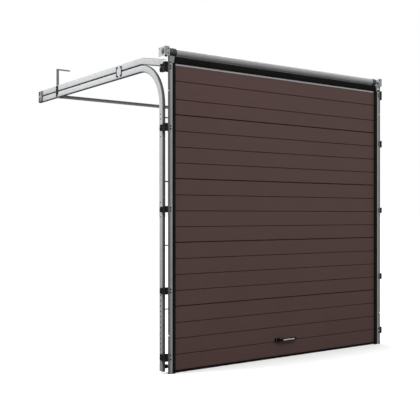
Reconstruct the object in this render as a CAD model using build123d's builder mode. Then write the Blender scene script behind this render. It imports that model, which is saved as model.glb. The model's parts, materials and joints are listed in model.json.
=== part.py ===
from build123d import *
import math
import os

os.makedirs("parts", exist_ok=True)

# A sectional garage door, closed, seen from outside along +Y.
# X runs along the wall, Y into the garage, Z up. Lengths are in millimetres.
# The origin is on the front face of the left post, at the floor.

# Opening and leaf
clear_width = 2266
leaf_lap = 14
leaf_thickness = 40
seal_gap = 5
section_height = 500
lower_sections = 4
top_section_height = 385
cap_height = 15
cap_wall = 3
floor_gap = 20

# Ribs pressed into the front skin
rib_rows = (122, 247, 372)
top_rib_rows = (119, 263)
rib_width = 10
rib_depth = 4

# Overlapping seam between sections
seam_gap = 5
lip_depth = 12
tongue_gap = 7
tongue_height = 10
edge_chamfer = 3

# Posts and seals
post_outer_x = -21
post_face = 40
post_strip = 14
post_leg = 45
post_wall = 2
seal_width = 33
seal_thickness = 7
lintel_height = 45
lintel_rail_leg = 21
wall_hole_radius = 4.5
wall_hole_low = 300
wall_hole_spacing = 1900

# Roller tracks
track_width = 58
track_depth = 25
track_wall = 2
track_corner = 13
track_offset = 15
track_web_x = -45
track_foot_gap = 15
bend_radius = 330
track_stack_pitch = 60.5
track_end_y = 2447
upper_front_y = 32
upper_slope = 0.205
upper_knee_radius = 200
bracket_wall = 3
bracket_depth = 78
bracket_rows = ((0.053, 63), (0.262, 57), (0.518, 50), (0.7755, 63))
top_bracket_height = 95
top_bracket_drop = 77
plate_wall = 2
splice_y = 690
splice_length = 87
splice_height = 92
end_plate_length = 103
end_stop = 30

# Ceiling hangers and spreader bar
hanger_y = 1989
hanger_side = 20
hanger_rise = 161.5
hanger_gap = 2
hanger_fold = 14
hanger_reach = 138
hanger_hole_radius = 4.5
hanger_hole_spacing = 70
bar_height = 40
bar_depth = 22
bar_wall = 2.5
foot_wall = 4

# Spring shaft above the leaf
shaft_radius = 12.5
shaft_rise = 39
shaft_overhang = 7
running_gap = 0.05
spring_radius = 32
drum_radius = 33
drum_groove_radius = 20
drum_x = 20
drum_length = 50
drum_flange = 3
groove_width = 12
bearing_depth = 102
bearing_height = 72
bearing_face = 38
bearing_wall = 2.5
cable_radius = 1.5
cable_gap = 0.3
cable_pin_radius = 2.5

# Hinges, rollers and end stiles
stile_wall = 2
stile_width = 60
stile_inset = 14
hinge_wall = 2.5
hinge_width = 50
hinge_inset = 4
hinge_reach = 45
knuckle_radius = 5
pin_radius = 2.5
knuckle_gap = 0.5
roller_drop = 22
roller_radius = 19
roller_width = 13
roller_web_gap = 7
stem_radius = 5
stem_end = 52
socket_wall = 3
socket_reach = 14
bottom_roller_z = 50
bottom_bracket_gap = 6
bottom_bracket_height = 84
cable_pin_rise = 22
top_roller_y = 120
carrier_height = 75
carrier_top_gap = 25

# Lifting handle
handle_z = 158
handle_length = 220
handle_base = 50
handle_base_height = 36
handle_base_depth = 14
handle_standoff = 40
handle_grip = 15

# Places worked out from the sizes above
seal_outer_x = post_outer_x + post_face
clear_x = seal_outer_x + seal_width
centre_x = clear_x + clear_width / 2
leaf_x = clear_x - leaf_lap
leaf_width = clear_width + 2 * leaf_lap
leaf_front = seal_thickness + 3 + seal_gap
leaf_back = leaf_front + leaf_thickness
top_joint_z = floor_gap + lower_sections * section_height
leaf_top = top_joint_z + top_section_height + cap_height
stile_back = leaf_back + stile_wall
hinge_y = stile_back + knuckle_radius
track_y = leaf_back + track_offset
lintel_low = leaf_top + seal_gap
lintel_top = lintel_low + lintel_height
post_top = lintel_top + post_wall
shaft_z = lintel_top + shaft_rise
lower_track_z = leaf_top + 4
upper_track_z = lower_track_z + track_stack_pitch
bend_z = lower_track_z - bend_radius
bend_y = track_y + bend_radius
knee_drop = math.hypot(1, upper_slope)
upper_knee_y = 367
upper_front_z = upper_track_z - upper_slope * (upper_knee_y - upper_front_y)
top_roller_z = upper_front_z + upper_slope * (top_roller_y - upper_front_y)
cable_x = drum_x + drum_flange + groove_width / 2
cable_y = stile_back + cable_pin_radius + cable_gap
shaft_y = cable_y - drum_groove_radius - cable_radius - cable_gap
joint_heights = [floor_gap + section_height * (i + 1) for i in range(lower_sections)]
centre_plane = Plane.YZ.offset(centre_x)


def keep(piece, name):
    """Label a finished piece and write it to its own file."""
    piece.part.label = name
    export_step(piece.part, f"parts/{name}.step")


def mirrored(piece):
    """The same piece on the other side of the opening."""
    with BuildPart() as twin:
        mirror(piece.part, about=centre_plane)
    return twin


def both_sides(piece):
    """The piece and its mirror image as one pair."""
    with BuildPart() as pair:
        add(piece.part)
        mirror(piece.part, about=centre_plane)
    return pair


def box_between(low, high, mode=Mode.ADD):
    """A block given by its lowest and highest corners."""
    size = [high[i] - low[i] for i in range(3)]
    middle = tuple((low[i] + high[i]) / 2 for i in range(3))
    with Locations(middle):
        Box(*size, mode=mode)


def rod_along_x(radius, x_from, x_to, y, z, mode=Mode.ADD):
    """A round bar along X."""
    with Locations(Plane(origin=((x_from + x_to) / 2, y, z), x_dir=(0, 1, 0), z_dir=(1, 0, 0))):
        Cylinder(radius, x_to - x_from, mode=mode)


def section_outline(low, high, rows, has_lip, has_tongue):
    """Side outline of one leaf section, with its ribs, lip and tongue."""
    low_edge = low + seam_gap / 2 if has_lip else low
    high_edge = high - seam_gap / 2 if has_tongue else high
    points = [(leaf_front + edge_chamfer, low_edge), (leaf_front, low_edge + edge_chamfer)]
    for row in rows:
        points += [
            (leaf_front, low + row - rib_width / 2),
            (leaf_front + rib_depth, low + row),
            (leaf_front, low + row + rib_width / 2),
        ]
    points += [(leaf_front, high_edge - edge_chamfer), (leaf_front + edge_chamfer, high_edge)]
    if has_tongue:
        tongue_y = leaf_front + lip_depth + tongue_gap
        points += [(tongue_y, high_edge), (tongue_y, high + tongue_height)]
        points += [(leaf_back, high + tongue_height)]
    else:
        points += [(leaf_back, high_edge)]
    if has_lip:
        rebate = low + tongue_height + seam_gap
        points += [(leaf_back, rebate), (leaf_front + lip_depth, rebate)]
        points += [(leaf_front + lip_depth, low_edge)]
    else:
        points += [(leaf_back, low_edge)]
    return points


def leaf_section(low, high, rows, has_lip, has_tongue):
    """One insulated section between its end stiles."""
    with BuildPart() as section:
        with BuildSketch(Plane.YZ.offset(leaf_x + stile_wall)):
            with BuildLine():
                Polyline(*section_outline(low, high, rows, has_lip, has_tongue), close=True)
            make_face()
        extrude(amount=leaf_width - 2 * stile_wall)
    return section


def end_stile(low, high):
    """Folded steel cap on the left end of a section, added to the open part."""
    with BuildSketch(Plane.XY.offset(low)) as profile:
        with Locations((leaf_x, leaf_front + edge_chamfer)):
            Rectangle(stile_wall, stile_back - leaf_front - edge_chamfer, align=Align.MIN)
        with Locations((leaf_x, leaf_back)):
            Rectangle(stile_width, stile_wall, align=Align.MIN)
    extrude(profile.sketch, amount=high - low)


def track_corner_points(radius):
    """Points round one corner of the track, from its web to its flange, in three flats."""
    turns = [math.radians(30 * step) for step in range(4)]
    start = track_width / 2 - track_corner
    return [(track_corner - radius * math.cos(a), start + radius * math.sin(a)) for a in turns]


def track_section(plane):
    """Rolled channel with its web on the plane's origin and its mouth towards +X."""
    half = track_width / 2
    mouth = [(track_depth, half), (track_depth, half - track_wall)]
    outer = track_corner_points(track_corner)
    inner = track_corner_points(track_corner - track_wall)
    upper = outer + mouth + inner[::-1]
    lower = [(x, -v) for x, v in upper]
    with BuildSketch(plane) as section:
        with BuildLine():
            Polyline(*upper, *lower[::-1], close=True)
        make_face()
    return section.sketch


def side_prism(x_from, x_to, points, arc=None):
    """A side outline carried along X, added to the open part; arc bulges between two of its points."""
    with BuildSketch(Plane.YZ.offset(x_from)) as side:
        with BuildLine():
            if arc:
                Polyline(*points)
                ThreePointArc(points[-1], arc, points[0])
            else:
                Polyline(*points, close=True)
        make_face()
    extrude(side.sketch, amount=x_to - x_from)


def flat_hinge(x, joint):
    """A hinge of one folded outline, with its knuckle half round, added to the open part."""
    plate = stile_back + hinge_wall
    points = [
        (hinge_y, joint + knuckle_radius),
        (plate, joint + 2 * knuckle_radius),
        (plate, joint + hinge_reach),
        (stile_back, joint + hinge_reach),
        (stile_back, joint - hinge_reach),
        (plate, joint - hinge_reach),
        (plate, joint - 2 * knuckle_radius),
        (hinge_y, joint - knuckle_radius),
    ]
    side_prism(x, x + hinge_width, points, (hinge_y + knuckle_radius, joint))


def pinned_hinge_lower(x, joint):
    """Lower leaf of a pinned hinge with its two outer knuckles and the pin, added to the open part."""
    plate = stile_back + hinge_wall
    third = hinge_width / 3
    points = [
        (hinge_y, joint + knuckle_radius),
        (stile_back, joint + knuckle_radius),
        (stile_back, joint - 3 * knuckle_radius),
        (plate, joint - 3 * knuckle_radius),
        (plate, joint - 2 * knuckle_radius),
        (hinge_y, joint - knuckle_radius),
    ]
    bulge = (hinge_y + knuckle_radius, joint)
    side_prism(x, x + third - knuckle_gap, points, bulge)
    side_prism(x + 2 * third + knuckle_gap, x + hinge_width, points, bulge)
    box_between(
        (x, stile_back, joint - hinge_reach), (x + hinge_width, plate, joint - 3 * knuckle_radius)
    )
    rod_along_x(pin_radius, x + third / 2, x + hinge_width - third / 2, hinge_y, joint)


def pinned_hinge_upper(x, joint):
    """Upper leaf of a pinned hinge with its bored middle knuckle, added to the open part."""
    plate = stile_back + hinge_wall
    near = x + hinge_width / 3 + knuckle_gap
    far = x + 2 * hinge_width / 3 - knuckle_gap
    shoulder = joint + 2 * knuckle_radius
    box_between((x, stile_back, shoulder), (x + hinge_width, plate, joint + hinge_reach))
    box_between((near, stile_back, joint), (far, plate, shoulder))
    rod_along_x(knuckle_radius, near, far, hinge_y, joint)
    rod_along_x(pin_radius + running_gap, near, far, hinge_y, joint, mode=Mode.SUBTRACT)


def roller_socket(x_from, x_to, y, z, low, high):
    """A folded saddle with a bored tube for a roller stem, standing on the stile plate."""
    base_y = stile_back + hinge_wall
    tube = stem_radius + socket_wall
    flats = [math.radians(45 * step) for step in range(-2, 3)]
    points = [(base_y, high), (base_y, low)]
    points += [(y + tube * math.cos(a), z + tube * math.sin(a)) for a in flats]
    side_prism(x_from, x_to, points)
    rod_along_x(stem_radius + running_gap, x_from, x_to, y, z, mode=Mode.SUBTRACT)


def roller(y, z):
    """Track roller with its stem, turned as one round bar on the left side."""
    wheel_x = track_web_x + track_wall + roller_web_gap
    rod_along_x(roller_radius, wheel_x, wheel_x + roller_width, y, z)
    rod_along_x(stem_radius, wheel_x + 1, leaf_x + stem_end, y, z)


# Leaf sections
for number in range(lower_sections):
    section_low = floor_gap + number * section_height
    piece = leaf_section(section_low, section_low + section_height, rib_rows, number > 0, True)
    keep(piece, f"section_{number + 1}")

top_section = leaf_section(top_joint_z, leaf_top - cap_height, top_rib_rows, True, False)
keep(top_section, "top_section")

with BuildPart() as top_cap:
    with BuildSketch(Plane.YZ.offset(leaf_x)):
        with Locations((leaf_front, leaf_top - cap_height)):
            Rectangle(leaf_thickness, cap_height, align=Align.MIN)
        with Locations((leaf_front + cap_wall, leaf_top - cap_height)):
            Rectangle(
                leaf_thickness - 2 * cap_wall, cap_height - cap_wall, align=Align.MIN, mode=Mode.SUBTRACT
            )
    extrude(amount=leaf_width)
keep(top_cap, "top_cap")

with BuildPart() as bottom_seal:
    with BuildSketch(Plane.YZ.offset(leaf_x)) as seal_profile:
        with Locations(((leaf_front + leaf_back) / 2, floor_gap / 2)):
            Rectangle(leaf_thickness - 4, floor_gap)
        chamfer(seal_profile.vertices().group_by(Axis.Y)[0], floor_gap * 0.4)
        with Locations(((leaf_front + leaf_back) / 2, floor_gap * 0.45)):
            Rectangle(leaf_thickness - 20, floor_gap * 0.5, mode=Mode.SUBTRACT)
    extrude(amount=leaf_width)
keep(bottom_seal, "bottom_seal")

# End stiles
with BuildPart() as left_stiles:
    for joint in joint_heights:
        end_stile(joint - section_height + stile_inset, joint - stile_inset / 2)
keep(both_sides(left_stiles), "end_stiles")

with BuildPart() as left_top_stile:
    end_stile(top_joint_z + stile_inset + tongue_height, leaf_top - cap_height)
keep(both_sides(left_top_stile), "top_end_stiles")

# Hinges
hinge_x = leaf_x + hinge_inset
with BuildPart() as left_side_hinges:
    for joint in joint_heights:
        if joint == joint_heights[-1]:
            pinned_hinge_lower(hinge_x, joint)
        else:
            flat_hinge(hinge_x, joint)
        stem_z = joint - roller_drop
        socket_low = stem_z - socket_reach
        socket_high = stem_z + socket_reach
        roller_socket(hinge_x, hinge_x + hinge_width, track_y, stem_z, socket_low, socket_high)
keep(left_side_hinges, "left_side_hinges")
keep(mirrored(left_side_hinges), "right_side_hinges")

centre_columns = [centre_x - hinge_width / 2]
with BuildPart() as centre_hinges:
    for joint in joint_heights:
        last = joint == joint_heights[-1]
        for column in centre_columns:
            if last:
                pinned_hinge_lower(column, joint)
            else:
                flat_hinge(column, joint)
            box_between(
                (column, leaf_back, joint - hinge_reach),
                (column + hinge_width, stile_back, joint - stile_inset / 2),
            )
            if not last:
                box_between(
                    (column, leaf_back, joint + stile_inset),
                    (column + hinge_width, stile_back, joint + hinge_reach),
                )
keep(centre_hinges, "centre_hinges")

with BuildPart() as top_hinge_leaves:
    for column in [hinge_x, *centre_columns, 2 * centre_x - hinge_x - hinge_width]:
        pinned_hinge_upper(column, top_joint_z)
    for column in centre_columns:
        box_between(
            (column, leaf_back, top_joint_z + stile_inset + tongue_height),
            (column + hinge_width, stile_back, top_joint_z + hinge_reach),
        )
keep(top_hinge_leaves, "top_hinge_leaves")

# Bottom brackets with the cable pins
bracket_low = floor_gap + bottom_bracket_gap
bracket_high = bracket_low + bottom_bracket_height
pin_z = bottom_roller_z + cable_pin_rise
with BuildPart() as left_bottom_bracket:
    box_between(
        (hinge_x, stile_back, bracket_low),
        (hinge_x + hinge_width, stile_back + hinge_wall, bracket_high),
    )
    roller_socket(hinge_x, hinge_x + hinge_width, track_y, bottom_roller_z, bracket_low, bracket_high)
    rod_along_x(cable_pin_radius, cable_x - 2 * cable_radius, hinge_x + 1, cable_y, pin_z)
keep(both_sides(left_bottom_bracket), "bottom_brackets")

# Rollers
with BuildPart() as left_rollers:
    for z in [bottom_roller_z, *[joint - roller_drop for joint in joint_heights]]:
        roller(track_y, z)
keep(both_sides(left_rollers), "leaf_rollers")

with BuildPart() as left_top_roller:
    roller(top_roller_y, top_roller_z)
keep(both_sides(left_top_roller), "top_rollers")

carrier_high = leaf_top - cap_height - carrier_top_gap
with BuildPart() as left_carrier:
    box_between(
        (hinge_x, stile_back, carrier_high - carrier_height),
        (hinge_x + hinge_width, stile_back + hinge_wall, carrier_high),
    )
    for cheek_x in (hinge_x, hinge_x + hinge_width - hinge_wall):
        carrier_low = carrier_high - carrier_height
        roller_socket(cheek_x, cheek_x + hinge_wall, top_roller_y, top_roller_z, carrier_low, carrier_high)
keep(both_sides(left_carrier), "top_roller_carriers")

# Lifting handle on the bottom section
handle_x = centre_x - handle_length / 2
with BuildPart() as handle:
    box_between(
        (handle_x, leaf_front - handle_base_depth, handle_z - handle_base_height / 2),
        (handle_x + handle_base, leaf_front, handle_z + handle_base_height / 2),
    )
    chamfer(handle.edges().filter_by(Axis.Y), 6)
    chamfer(handle.faces().sort_by(Axis.Y)[0].edges(), 3)
    grip_y = leaf_front - handle_standoff
    grip_x = handle_x + handle_base / 2
    grip_foot = (grip_x, leaf_front - handle_base_depth + 2, handle_z)
    with BuildLine():
        FilletPolyline(
            grip_foot,
            (grip_x, grip_y, handle_z),
            (handle_x + handle_length - handle_grip, grip_y, handle_z),
            (handle_x + handle_length, grip_y + handle_grip, handle_z),
            radius=10,
        )
    with BuildSketch(Plane(origin=grip_foot, x_dir=(1, 0, 0), z_dir=(0, -1, 0))) as grip_profile:
        Rectangle(handle_grip, handle_grip * 1.5)
        chamfer(grip_profile.vertices(), handle_grip * 0.3)
    sweep()
keep(handle, "handle")

# Posts
with BuildPart() as left_post:
    box_between((post_outer_x, 0, 0), (seal_outer_x, post_wall, leaf_top - post_wall))
    box_between((post_outer_x, 0, 0), (post_outer_x + post_strip, post_wall, post_top))
    box_between((seal_outer_x - post_wall, 0, 0), (seal_outer_x, post_leg, post_top))
    hole_x = post_outer_x + post_strip / 2
    for z in (wall_hole_low, wall_hole_low + wall_hole_spacing):
        with Locations(Plane(origin=(hole_x, 0, z), x_dir=(1, 0, 0), z_dir=(0, -1, 0))):
            Hole(wall_hole_radius, depth=post_wall)
keep(left_post, "left_post")
keep(mirrored(left_post), "right_post")

# Seals
with BuildPart() as left_side_seal:
    with BuildSketch(Plane.XY):
        with BuildLine():
            Polyline(
                (seal_outer_x, 0),
                (clear_x - 5, 0),
                (clear_x, 5),
                (clear_x, seal_thickness + 3),
                (clear_x - 4, seal_thickness + 3),
                (clear_x - 8, seal_thickness),
                (seal_outer_x, seal_thickness),
                close=True,
            )
        make_face()
    extrude(amount=lintel_low)
keep(left_side_seal, "left_side_seal")
keep(mirrored(left_side_seal), "right_side_seal")

lintel_length = 2 * (centre_x - seal_outer_x)
with BuildPart() as lintel_seal:
    with BuildSketch(Plane.YZ.offset(seal_outer_x)):
        with BuildLine():
            Polyline(
                (0, lintel_top),
                (0, lintel_low + 5),
                (5, lintel_low),
                (seal_thickness + 3, lintel_low),
                (seal_thickness + 3, lintel_low + 4),
                (seal_thickness, lintel_low + 8),
                (seal_thickness, lintel_top),
                close=True,
            )
        make_face()
    extrude(amount=lintel_length)
keep(lintel_seal, "lintel_seal")

with BuildPart() as lintel_rail:
    box_between(
        (seal_outer_x, seal_thickness, lintel_low + 12),
        (seal_outer_x + lintel_length, seal_thickness + post_wall, lintel_top),
    )
    box_between(
        (seal_outer_x, seal_thickness, lintel_top - post_wall),
        (seal_outer_x + lintel_length, seal_thickness + lintel_rail_leg, lintel_top),
    )
keep(lintel_rail, "lintel_rail")

# Tracks
with BuildPart() as left_vertical_track:
    foot_z = track_foot_gap
    foot = Plane(origin=(track_web_x, track_y, foot_z), x_dir=(1, 0, 0), z_dir=(0, 0, 1))
    extrude(track_section(foot), amount=bend_z - foot_z)
keep(left_vertical_track, "left_vertical_track")
keep(mirrored(left_vertical_track), "right_vertical_track")

with BuildPart() as left_track_bend:
    bend_start = Plane(origin=(track_web_x, track_y, bend_z), x_dir=(1, 0, 0), z_dir=(0, 0, 1))
    bend_axis = Axis((0, bend_y, bend_z), (-1, 0, 0))
    revolve(track_section(bend_start), axis=bend_axis, revolution_arc=90)
keep(both_sides(left_track_bend), "track_bends")

with BuildPart() as left_horizontal_track:
    level_start = Plane(origin=(track_web_x, bend_y, lower_track_z), x_dir=(1, 0, 0), z_dir=(0, 1, 0))
    extrude(track_section(level_start), amount=track_end_y - bend_y)
keep(left_horizontal_track, "left_horizontal_track")
keep(mirrored(left_horizontal_track), "right_horizontal_track")

with BuildPart() as left_upper_track:
    upper_start = (track_web_x, upper_front_y, upper_front_z)
    with BuildLine():
        FilletPolyline(
            upper_start,
            (track_web_x, upper_knee_y, upper_track_z),
            (track_web_x, track_end_y, upper_track_z),
            radius=upper_knee_radius,
        )
    front_end = Plane(origin=upper_start, x_dir=(1, 0, 0), z_dir=(0, 1, upper_slope))
    sweep(track_section(front_end))
keep(left_upper_track, "left_upper_track")
keep(mirrored(left_upper_track), "right_upper_track")

# Brackets from the posts to the tracks
bracket_x = track_web_x - bracket_wall
bracket_places = [(share * post_top, height) for share, height in bracket_rows]
bracket_places.append((post_top - top_bracket_drop, top_bracket_height))
with BuildPart() as left_track_brackets:
    for middle, height in bracket_places:
        low = middle - height / 2
        box_between(
            (bracket_x, post_wall, low),
            (seal_outer_x - post_wall - 3, post_wall + bracket_wall, low + height),
        )
        box_between((bracket_x, post_wall, low), (track_web_x, post_wall + bracket_depth, low + height))
keep(left_track_brackets, "left_track_brackets")
keep(mirrored(left_track_brackets), "right_track_brackets")

# Plates that tie each pair of tracks together
pair_middle = (lower_track_z + upper_track_z) / 2
plate_x = track_web_x - plate_wall
with BuildPart() as left_splice_plate:
    box_between(
        (plate_x, splice_y, pair_middle - splice_height / 2),
        (track_web_x, splice_y + splice_length, pair_middle + splice_height / 2),
    )
keep(both_sides(left_splice_plate), "splice_plates")

with BuildPart() as left_end_plate:
    end_half = (track_stack_pitch + track_width) / 2 - 6
    box_between(
        (plate_x, track_end_y - end_plate_length, pair_middle - end_half),
        (track_web_x, track_end_y + plate_wall, pair_middle + end_half),
    )
    box_between(
        (plate_x, track_end_y, pair_middle - end_half),
        (track_web_x + end_stop, track_end_y + plate_wall, pair_middle + end_half),
    )
keep(both_sides(left_end_plate), "end_plates")

# Hangers to the ceiling
with BuildPart() as left_hanger:
    hanger_low = lower_track_z - track_width / 2 + 8
    over_tracks = upper_track_z + track_width / 2 + hanger_gap
    ceiling_z = over_tracks + hanger_rise
    box_between((plate_x, hanger_y, hanger_low), (track_web_x, hanger_y + hanger_side, ceiling_z))
    box_between(
        (plate_x, hanger_y, over_tracks), (plate_x + hanger_side, hanger_y + plate_wall, ceiling_z)
    )
    box_between(
        (plate_x, hanger_y, ceiling_z - plate_wall),
        (plate_x + hanger_reach, hanger_y + hanger_side, ceiling_z),
    )
    box_between(
        (plate_x, hanger_y, ceiling_z - hanger_fold),
        (plate_x + hanger_reach, hanger_y + plate_wall, ceiling_z),
    )
    hanger_hole_x = plate_x + hanger_reach - hanger_side
    for x in (hanger_hole_x, hanger_hole_x - hanger_hole_spacing):
        with Locations((x, hanger_y + (hanger_side + plate_wall) / 2, ceiling_z)):
            Hole(hanger_hole_radius, depth=plate_wall)
keep(both_sides(left_hanger), "track_hangers")

# Spreader bar under the tracks
bar_top = lower_track_z - track_width / 2 + 24
bar_x = track_web_x + track_depth + 1
with BuildPart() as spreader_bar:
    with BuildSketch(Plane.YZ.offset(bar_x)):
        with Locations((hanger_y - bar_depth, bar_top - bar_height)):
            Rectangle(bar_depth, bar_height, align=Align.MIN)
        with Locations((hanger_y - bar_depth + bar_wall, bar_top - bar_height + bar_wall)):
            Rectangle(bar_depth, bar_height - 2 * bar_wall, align=Align.MIN, mode=Mode.SUBTRACT)
    extrude(amount=2 * (centre_x - bar_x))
    foot_top = lower_track_z - track_width / 2
    foot_ends = (track_web_x, bar_x + 30)
    for ends in (foot_ends, [2 * centre_x - x for x in reversed(foot_ends)]):
        box_between((ends[0], hanger_y - bar_depth, foot_top - foot_wall), (ends[1], hanger_y, foot_top))
keep(spreader_bar, "spreader_bar")

# Spring shaft with its drums, spring and bearing brackets
bearing_x = -bearing_face - 5
bearing_low = shaft_z - bearing_height / 2
with BuildPart() as left_bearing:
    box_between(
        (bearing_x, post_wall, bearing_low),
        (bearing_x + bearing_wall, post_wall + bearing_depth, bearing_low + bearing_height),
    )
    box_between(
        (bearing_x, post_wall, bearing_low),
        (bearing_x + bearing_face, post_wall + bearing_wall, bearing_low + bearing_height),
    )
    box_between(
        (post_outer_x, post_wall, bearing_low - 26),
        (post_outer_x + post_strip, post_wall + bearing_wall, bearing_low + 1),
    )
    bearing_bore = shaft_radius + running_gap
    rod_along_x(bearing_bore, bearing_x, bearing_x + bearing_wall, shaft_y, shaft_z, mode=Mode.SUBTRACT)
keep(both_sides(left_bearing), "bearing_brackets")

shaft_x = bearing_x - shaft_overhang
with BuildPart() as spring_shaft:
    rod_along_x(shaft_radius, shaft_x, 2 * centre_x - shaft_x, shaft_y, shaft_z)
keep(spring_shaft, "spring_shaft")

shaft_plane = Plane(origin=(0, shaft_y, shaft_z), x_dir=(1, 0, 0), z_dir=(0, -1, 0))
shaft_axis = Axis((0, shaft_y, shaft_z), (1, 0, 0))
bore = shaft_radius + running_gap
with BuildPart() as left_drum:
    groove_x = drum_x + drum_flange
    with BuildSketch(shaft_plane):
        with BuildLine():
            Polyline(
                (drum_x, bore),
                (drum_x, drum_radius),
                (groove_x, drum_radius),
                (groove_x, drum_groove_radius),
                (groove_x + groove_width, drum_groove_radius),
                (groove_x + groove_width, drum_radius),
                (drum_x + drum_length, drum_radius),
                (drum_x + drum_length, bore),
                close=True,
            )
        make_face()
    revolve(axis=shaft_axis)
keep(both_sides(left_drum), "cable_drums")

spring_x = drum_x + drum_length
spring_far_x = 2 * centre_x - spring_x
with BuildPart() as torsion_spring:
    with BuildSketch(shaft_plane):
        with BuildLine():
            Polyline(
                (spring_x, bore),
                (spring_x, spring_radius),
                (spring_far_x, spring_radius),
                (spring_far_x, bore),
                close=True,
            )
        make_face()
    revolve(axis=shaft_axis)
keep(torsion_spring, "torsion_spring")

with BuildPart() as left_cable:
    cable_low = pin_z + cable_pin_radius + cable_gap
    with BuildSketch(Plane.XY.offset(cable_low)):
        with Locations((cable_x, cable_y)):
            RegularPolygon(cable_radius, 6)
    extrude(amount=shaft_z - cable_low)
keep(both_sides(left_cable), "lifting_cables")
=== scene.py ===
"""Dresses a sectional garage door: painted leaf, zinc coated tracks, spring, drums, rollers and bolts."""

import json
import math
from functools import partial

import bpy
import numpy as np
from bpy.props import FloatProperty, FloatVectorProperty, IntProperty, PointerProperty
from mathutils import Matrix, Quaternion, Vector


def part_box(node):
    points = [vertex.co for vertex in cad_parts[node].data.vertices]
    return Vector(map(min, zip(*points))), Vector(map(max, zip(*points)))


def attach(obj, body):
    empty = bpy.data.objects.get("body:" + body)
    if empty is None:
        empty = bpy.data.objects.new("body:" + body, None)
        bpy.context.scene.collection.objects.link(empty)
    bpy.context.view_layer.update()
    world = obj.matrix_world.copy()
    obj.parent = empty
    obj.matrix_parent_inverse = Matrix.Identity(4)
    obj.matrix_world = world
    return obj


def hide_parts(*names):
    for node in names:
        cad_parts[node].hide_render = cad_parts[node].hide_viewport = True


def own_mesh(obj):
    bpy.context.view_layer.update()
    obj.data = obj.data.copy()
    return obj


bl_info = {
    "name": "Sectional garage door",
    "version": (1, 0, 0),
    "blender": (4, 5, 0),
    "location": "3D View > Sidebar > Garage door",
    "description": "Makes the tracks, spring, drums, rollers, bolts and finishes of a sectional garage door",
    "category": "Object",
}

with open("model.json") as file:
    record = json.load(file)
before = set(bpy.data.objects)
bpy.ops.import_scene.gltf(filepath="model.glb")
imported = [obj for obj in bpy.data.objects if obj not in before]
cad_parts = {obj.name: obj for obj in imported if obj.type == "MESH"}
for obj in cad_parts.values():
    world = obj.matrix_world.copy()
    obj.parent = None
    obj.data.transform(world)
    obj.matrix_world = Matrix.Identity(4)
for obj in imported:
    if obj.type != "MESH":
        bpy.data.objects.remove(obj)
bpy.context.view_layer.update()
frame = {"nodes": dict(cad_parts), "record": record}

SHAFT = {"y": 0.038, "z": 2.509}
CENTRE_X = 1.185
LEAF_FRONT = 0.015
LEAF_BACK = 0.055
HINGE_FACE = 0.0595
SECTION_JOINTS = (0.520, 1.020, 1.520, 2.020)
ROLLER_HEIGHTS = (0.050, 0.498, 0.998, 1.498, 1.998)

# Left track: x of its web, y and top of its upright run, z of its level run, y of the bend's and track's ends
TRACK_WEB = -0.045
TRACK_Y = 0.070
UPRIGHT_TOP = 2.094
TRACK_CORNER_Z = 2.424
BEND_END_Y = 0.400
TRACK_END_Y = 2.447

# Upper track: z of its level run, y of its knee, and the rise of the run before the knee for each metre
UPPER_Z = 2.4845
KNEE_Y = 0.367
UPPER_RISE = 0.205

# Black brackets: middle, height, share of the height that the side leg's top falls, half the bolts' spacing
BRACKETS = (
    (0.131, 0.063, 0.22, 0.017),
    (0.6477, 0.057, 0.22, 0.012),
    (1.2805, 0.050, 0.22, 0.011),
    (1.917, 0.063, 0.22, 0.011),
    (2.3835, 0.083, 0.38, 0.010),
)


def colour(name, text, value):
    """A colour property in scene units."""
    given = {"name": name, "description": text, "default": value}
    return FloatVectorProperty(**given, subtype="COLOR", size=3, min=0, max=1)


def length(name, text, value):
    """A length property in metres."""
    return FloatProperty(name=name, description=text, default=value, unit="LENGTH", min=0.0001, precision=4)


class DoorSizes(bpy.types.PropertyGroup):
    """Sizes of the pieces that are made here."""

    track_width: length("Track width", "Outer width of the roller track", 0.058)
    track_depth: length("Track depth", "Depth of the track from its web to its mouth", 0.025)
    track_wall: length("Track wall", "Sheet thickness of the track", 0.002)
    track_corner: length("Track corner", "Outer radius of the track's rolled corners", 0.013)
    bend_radius: length("Bend radius", "Radius of the bend at the middle of the track", 0.33)
    wire: length("Spring wire", "Thickness of the spring wire", 0.0055)
    coil_radius: length("Coil radius", "Outer radius of the torsion spring", 0.032)
    coil_pitch: length("Coil pitch", "Distance from one turn of the spring to the next", 0.006)
    cable: length("Cable", "Thickness of the lifting cable", 0.003)
    roller: length("Roller radius", "Outer radius of the track rollers", 0.019)
    sides: IntProperty(name="Round sides", description="Faces round a turning", default=40, min=12, max=96)


class DoorColours(bpy.types.PropertyGroup):
    """Colours of the finishes."""

    paint: colour("Leaf paint", "Brown paint of the outer skin", (0.076, 0.045, 0.041))
    inside: colour("Inner skin", "Pale paint of the inner skin", (0.56, 0.57, 0.56))
    zinc: colour("Zinc coat", "Zinc coated sheet", (0.33, 0.335, 0.34))
    rubber: colour("Rubber", "Seals", (0.0085, 0.0078, 0.0076))
    black: colour("Black steel", "Painted track brackets", (0.013, 0.013, 0.0135))
    spring: colour("Spring wire", "Oiled spring wire", (0.40, 0.405, 0.41))
    drum: colour("Drum", "Cast cable drums", (0.055, 0.055, 0.058))
    grip: colour("Grip", "Bare metal of the handle", (0.50, 0.46, 0.46))


def sizes():
    """The size settings of the scene."""
    return bpy.context.scene.door_sizes


def colours():
    """The colour settings of the scene."""
    return bpy.context.scene.door_colours


# Shells: a closed surface is (points, list of face index arrays)


def rings(x, y, z):
    """Rings of points from three coordinates, each a number, a column down the rings or a row round them."""
    return np.stack(np.broadcast_arrays(x, y, z), -1)


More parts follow.
